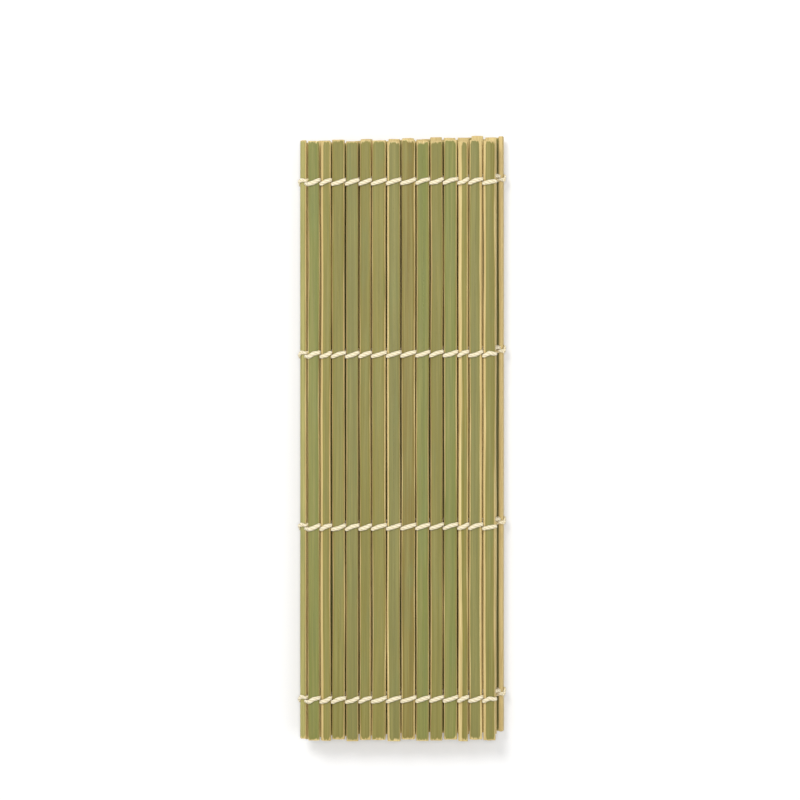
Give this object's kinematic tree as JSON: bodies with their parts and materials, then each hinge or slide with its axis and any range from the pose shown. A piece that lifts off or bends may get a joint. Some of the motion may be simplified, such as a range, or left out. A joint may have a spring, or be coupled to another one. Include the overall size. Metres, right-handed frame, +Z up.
{
  "type": "sushi rolling mat",
  "caption": "Flat bamboo slats bound side by side by rows of twined cotton cord, folded in three; it opens out flat and its outer panels curl up for rolling sushi.",
  "frame": {"origin": "centre of the footprint of the folded mat, on the plane it lies on", "axes": "+X across the slats from the left fold to the right fold, +Y along the slats, +Z up out of the green face of the top panel"},
  "size_m": [0.085, 0.243, 0.0139],
  "materials": {
    "green_bamboo": "smooth green bamboo skin",
    "olive_bamboo": "smooth olive bamboo skin",
    "straw_bamboo": "smooth straw bamboo skin",
    "cotton_cord": "matt twisted cotton"
  },
  "bodies": {
    "middle_panel": {"middle_slats": "olive_bamboo", "middle_cords": "cotton_cord"},
    "left_fold": {"left_fold_slat": "straw_bamboo", "left_fold_cord": "cotton_cord"},
    "top_01": {"top_slat_01": "green_bamboo", "top_cord_01": "cotton_cord"},
    "right_fold": {"right_fold_slat": "olive_bamboo", "right_fold_cord": "cotton_cord"},
    "bottom_01": {"bottom_slat_01": "olive_bamboo", "bottom_cord_01": "cotton_cord"},
    "top_02": {"top_slat_02": "olive_bamboo", "top_cord_02": "cotton_cord"},
    "top_03": {"top_slat_03": "olive_bamboo", "top_cord_03": "cotton_cord"},
    "top_04": {"top_slat_04": "olive_bamboo", "top_cord_04": "cotton_cord"},
    "top_05": {"top_slat_05": "olive_bamboo", "top_cord_05": "cotton_cord"},
    "top_06": {"top_slat_06": "olive_bamboo", "top_cord_06": "cotton_cord"},
    "top_07": {"top_slat_07": "olive_bamboo", "top_cord_07": "cotton_cord"},
    "top_08": {"top_slat_08": "straw_bamboo", "top_cord_08": "cotton_cord"},
    "top_09": {"top_slat_09": "green_bamboo", "top_cord_09": "cotton_cord"},
    "top_10": {"top_slat_10": "olive_bamboo", "top_cord_10": "cotton_cord"},
    "top_11": {"top_slat_11": "green_bamboo", "top_cord_11": "cotton_cord"},
    "top_12": {"top_slat_12": "olive_bamboo", "top_cord_12": "cotton_cord"},
    "top_13": {"top_slat_13": "olive_bamboo", "top_cord_13": "cotton_cord"},
    "top_14": {"top_slat_14": "olive_bamboo", "top_cord_14": "cotton_cord"},
    "bottom_02": {"bottom_slat_02": "olive_bamboo", "bottom_cord_02": "cotton_cord"},
    "bottom_03": {"bottom_slat_03": "olive_bamboo", "bottom_cord_03": "cotton_cord"},
    "bottom_04": {"bottom_slat_04": "green_bamboo", "bottom_cord_04": "cotton_cord"},
    "bottom_05": {"bottom_slat_05": "olive_bamboo", "bottom_cord_05": "cotton_cord"},
    "bottom_06": {"bottom_slat_06": "olive_bamboo", "bottom_cord_06": "cotton_cord"},
    "bottom_07": {"bottom_slat_07": "straw_bamboo", "bottom_cord_07": "cotton_cord"},
    "bottom_08": {"bottom_slat_08": "olive_bamboo", "bottom_cord_08": "cotton_cord"},
    "bottom_09": {"bottom_slat_09": "olive_bamboo", "bottom_cord_09": "cotton_cord"},
    "bottom_10": {"bottom_slat_10": "green_bamboo", "bottom_cord_10": "cotton_cord"},
    "bottom_11": {"bottom_slat_11": "olive_bamboo", "bottom_cord_11": "cotton_cord"},
    "bottom_12": {"bottom_slat_12": "olive_bamboo", "bottom_cord_12": "cotton_cord"},
    "bottom_13": {"bottom_slat_13": "olive_bamboo", "bottom_cord_13": "cotton_cord"}
  },
  "joints": [
    {"name": "upper_fold", "type": "hinge", "parent": "middle_panel", "child": "left_fold", "pos_m": [-0.0404, 0, 0.0069], "axis": [0, 1, 0], "range_deg": [-105, 0], "deforming": ["left_fold_cord", "middle_cords"]},
    {"name": "upper_fold_top", "type": "hinge", "parent": "left_fold", "child": "top_01", "pos_m": [-0.03908, 0, 0.01184], "axis": [0, 1, 0], "range_deg": [-75, 0], "deforming": ["top_cord_01"]},
    {"name": "lower_fold", "type": "hinge", "parent": "middle_panel", "child": "right_fold", "pos_m": [0.03908, 0, 0.0069], "axis": [0, -1, 0], "range_deg": [0, 75], "deforming": ["right_fold_cord"]},
    {"name": "lower_fold_bottom", "type": "hinge", "parent": "right_fold", "child": "bottom_01", "pos_m": [0.0404, 0, 0.00196], "axis": [0, -1, 0], "range_deg": [0, 105], "deforming": ["bottom_cord_01"]},
    {"name": "top_roll", "type": "hinge", "parent": "top_01", "child": "top_02", "pos_m": [-0.03308, 0, 0.01184], "axis": [0, -1, 0], "range_deg": [0, 20], "deforming": ["top_cord_02"]},
    {"name": "top_roll_03", "type": "hinge", "parent": "top_02", "child": "top_03", "pos_m": [-0.02849, 0, 0.01184], "axis": [0, -1, 0], "range_deg": [0, 20], "deforming": ["top_cord_03"]},
    {"name": "top_roll_04", "type": "hinge", "parent": "top_03", "child": "top_04", "pos_m": [-0.0229, 0, 0.01184], "axis": [0, -1, 0], "range_deg": [0, 20], "deforming": ["top_cord_04"]},
    {"name": "top_roll_05", "type": "hinge", "parent": "top_04", "child": "top_05", "pos_m": [-0.01751, 0, 0.01184], "axis": [0, -1, 0], "range_deg": [0, 20], "deforming": ["top_cord_05"]},
    {"name": "top_roll_06", "type": "hinge", "parent": "top_05", "child": "top_06", "pos_m": [-0.01252, 0, 0.01184], "axis": [0, -1, 0], "range_deg": [0, 20], "deforming": ["top_cord_06"]},
    {"name": "top_roll_07", "type": "hinge", "parent": "top_06", "child": "top_07", "pos_m": [-0.00653, 0, 0.01184], "axis": [0, -1, 0], "range_deg": [0, 20], "deforming": ["top_cord_07"]},
    {"name": "top_roll_08", "type": "hinge", "parent": "top_07", "child": "top_08", "pos_m": [-0.00074, 0, 0.01184], "axis": [0, -1, 0], "range_deg": [0, 20], "deforming": ["top_cord_08"]},
    {"name": "top_roll_09", "type": "hinge", "parent": "top_08", "child": "top_09", "pos_m": [0.00525, 0, 0.01184], "axis": [0, -1, 0], "range_deg": [0, 20], "deforming": ["top_cord_09"]},
    {"name": "top_roll_10", "type": "hinge", "parent": "top_09", "child": "top_10", "pos_m": [0.01084, 0, 0.01184], "axis": [0, -1, 0], "range_deg": [0, 20], "deforming": ["top_cord_10"]},
    {"name": "top_roll_11", "type": "hinge", "parent": "top_10", "child": "top_11", "pos_m": [0.01623, 0, 0.01184], "axis": [0, -1, 0], "range_deg": [0, 20], "deforming": ["top_cord_11"]},
    {"name": "top_roll_12", "type": "hinge", "parent": "top_11", "child": "top_12", "pos_m": [0.02202, 0, 0.01184], "axis": [0, -1, 0], "range_deg": [0, 20], "deforming": ["top_cord_12"]},
    {"name": "top_roll_13", "type": "hinge", "parent": "top_12", "child": "top_13", "pos_m": [0.02641, 0, 0.01184], "axis": [0, -1, 0], "range_deg": [0, 20], "deforming": ["top_cord_13"]},
    {"name": "top_roll_14", "type": "hinge", "parent": "top_13", "child": "top_14", "pos_m": [0.032, 0, 0.01184], "axis": [0, -1, 0], "range_deg": [0, 20], "deforming": ["top_cord_14"]},
    {"name": "bottom_roll", "type": "hinge", "parent": "bottom_01", "child": "bottom_02", "pos_m": [0.03435, 0, 0.00196], "axis": [0, -1, 0], "range_deg": [0, 20], "deforming": ["bottom_cord_02"]},
    {"name": "bottom_roll_03", "type": "hinge", "parent": "bottom_02", "child": "bottom_03", "pos_m": [0.02891, 0, 0.00196], "axis": [0, -1, 0], "range_deg": [0, 20], "deforming": ["bottom_cord_03"]},
    {"name": "bottom_roll_04", "type": "hinge", "parent": "bottom_03", "child": "bottom_04", "pos_m": [0.02347, 0, 0.00196], "axis": [0, -1, 0], "range_deg": [0, 20], "deforming": ["bottom_cord_04"]},
    {"name": "bottom_roll_05", "type": "hinge", "parent": "bottom_04", "child": "bottom_05", "pos_m": [0.01803, 0, 0.00196], "axis": [0, -1, 0], "range_deg": [0, 20], "deforming": ["bottom_cord_05"]},
    {"name": "bottom_roll_06", "type": "hinge", "parent": "bottom_05", "child": "bottom_06", "pos_m": [0.01259, 0, 0.00196], "axis": [0, -1, 0], "range_deg": [0, 20], "deforming": ["bottom_cord_06"]},
    {"name": "bottom_roll_07", "type": "hinge", "parent": "bottom_06", "child": "bottom_07", "pos_m": [0.00715, 0, 0.00196], "axis": [0, -1, 0], "range_deg": [0, 20], "deforming": ["bottom_cord_07"]},
    {"name": "bottom_roll_08", "type": "hinge", "parent": "bottom_07", "child": "bottom_08", "pos_m": [0.00171, 0, 0.00196], "axis": [0, -1, 0], "range_deg": [0, 20], "deforming": ["bottom_cord_08"]},
    {"name": "bottom_roll_09", "type": "hinge", "parent": "bottom_08", "child": "bottom_09", "pos_m": [-0.00373, 0, 0.00196], "axis": [0, -1, 0], "range_deg": [0, 20], "deforming": ["bottom_cord_09"]},
    {"name": "bottom_roll_10", "type": "hinge", "parent": "bottom_09", "child": "bottom_10", "pos_m": [-0.00917, 0, 0.00196], "axis": [0, -1, 0], "range_deg": [0, 20], "deforming": ["bottom_cord_10"]},
    {"name": "bottom_roll_11", "type": "hinge", "parent": "bottom_10", "child": "bottom_11", "pos_m": [-0.01461, 0, 0.00196], "axis": [0, -1, 0], "range_deg": [0, 20], "deforming": ["bottom_cord_11"]},
    {"name": "bottom_roll_12", "type": "hinge", "parent": "bottom_11", "child": "bottom_12", "pos_m": [-0.02005, 0, 0.00196], "axis": [0, -1, 0], "range_deg": [0, 20], "deforming": ["bottom_cord_12"]},
    {"name": "bottom_roll_13", "type": "hinge", "parent": "bottom_12", "child": "bottom_13", "pos_m": [-0.02549, 0, 0.00196], "axis": [0, -1, 0], "range_deg": [0, 20], "deforming": ["bottom_cord_13"]}
  ],
  "couplings": [
    {"joint": "upper_fold_top", "follows": "upper_fold", "ratio": 0.71429},
    {"joint": "lower_fold_bottom", "follows": "lower_fold", "ratio": 1.4},
    {"joint": "top_roll_03", "follows": "top_roll", "ratio": 1},
    {"joint": "top_roll_04", "follows": "top_roll", "ratio": 1},
    {"joint": "top_roll_05", "follows": "top_roll", "ratio": 1},
    {"joint": "top_roll_06", "follows": "top_roll", "ratio": 1},
    {"joint": "top_roll_07", "follows": "top_roll", "ratio": 1},
    {"joint": "top_roll_08", "follows": "top_roll", "ratio": 1},
    {"joint": "top_roll_09", "follows": "top_roll", "ratio": 1},
    {"joint": "top_roll_10", "follows": "top_roll", "ratio": 1},
    {"joint": "top_roll_11", "follows": "top_roll", "ratio": 1},
    {"joint": "top_roll_12", "follows": "top_roll", "ratio": 1},
    {"joint": "top_roll_13", "follows": "top_roll", "ratio": 1},
    {"joint": "top_roll_14", "follows": "top_roll", "ratio": 1},
    {"joint": "bottom_roll_03", "follows": "bottom_roll", "ratio": 1},
    {"joint": "bottom_roll_04", "follows": "bottom_roll", "ratio": 1},
    {"joint": "bottom_roll_05", "follows": "bottom_roll", "ratio": 1},
    {"joint": "bottom_roll_06", "follows": "bottom_roll", "ratio": 1},
    {"joint": "bottom_roll_07", "follows": "bottom_roll", "ratio": 1},
    {"joint": "bottom_roll_08", "follows": "bottom_roll", "ratio": 1},
    {"joint": "bottom_roll_09", "follows": "bottom_roll", "ratio": 1},
    {"joint": "bottom_roll_10", "follows": "bottom_roll", "ratio": 1},
    {"joint": "bottom_roll_11", "follows": "bottom_roll", "ratio": 1},
    {"joint": "bottom_roll_12", "follows": "bottom_roll", "ratio": 1},
    {"joint": "bottom_roll_13", "follows": "bottom_roll", "ratio": 1}
  ]
}
